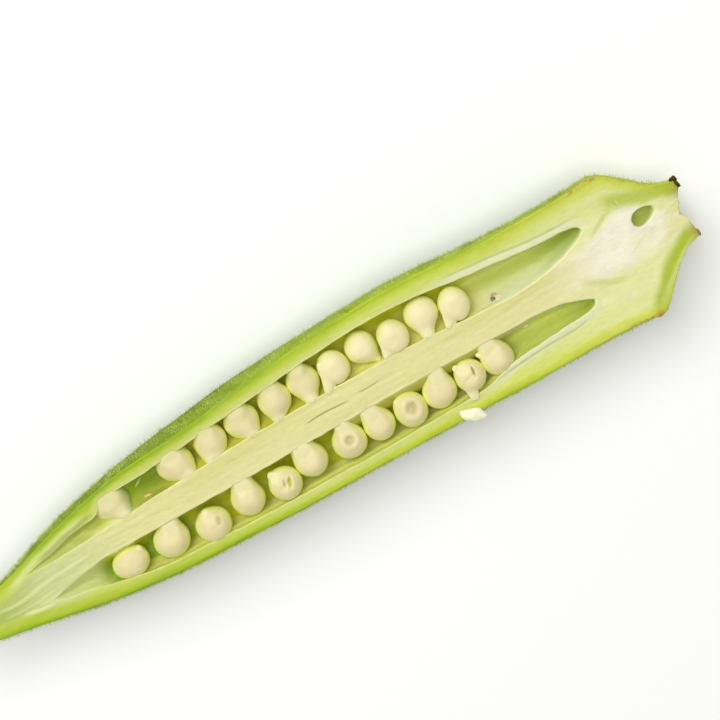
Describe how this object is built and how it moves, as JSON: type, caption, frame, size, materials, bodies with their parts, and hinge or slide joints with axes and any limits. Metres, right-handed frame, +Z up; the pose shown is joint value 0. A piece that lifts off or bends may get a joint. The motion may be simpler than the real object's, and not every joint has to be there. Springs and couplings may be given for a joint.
{
  "type": "okra pod half",
  "caption": "Okra pod cut lengthwise, lying on its ridged back with the cut face up: pale core, open seed chambers, round beaked seeds and a trimmed stem end.",
  "frame": {"origin": "middle of the bounding box's underside, where the pod's lowest ridge rests", "axes": "+X along the pod from the tip to the stem, +Z up out of the cut face, +Y to the left when looking from tip to stem"},
  "size_m": [0.12, 0.0216, 0.0122],
  "materials": {
    "pod_flesh": "moist pale-green flesh on the cut face, downy green skin outside",
    "seed": "smooth moist cream seed coat"
  },
  "bodies": {
    "root": {"half_pod": "pod_flesh", "seed_left_01": "seed", "seed_left_02": "seed", "seed_left_03": "seed", "seed_left_04": "seed", "seed_left_05": "seed", "seed_left_06": "seed", "seed_left_07": "seed", "seed_left_08": "seed", "seed_left_09": "seed", "seed_left_10": "seed", "seed_left_11": "seed", "seed_right_01": "seed", "seed_right_02": "seed", "seed_right_03": "seed", "seed_right_04": "seed", "seed_right_05": "seed", "seed_right_06": "seed", "seed_right_07": "seed", "seed_right_08": "seed", "seed_right_09": "seed", "seed_right_10": "seed", "seed_right_11": "seed", "seed_right_12": "seed"}
  },
  "joints": []
}
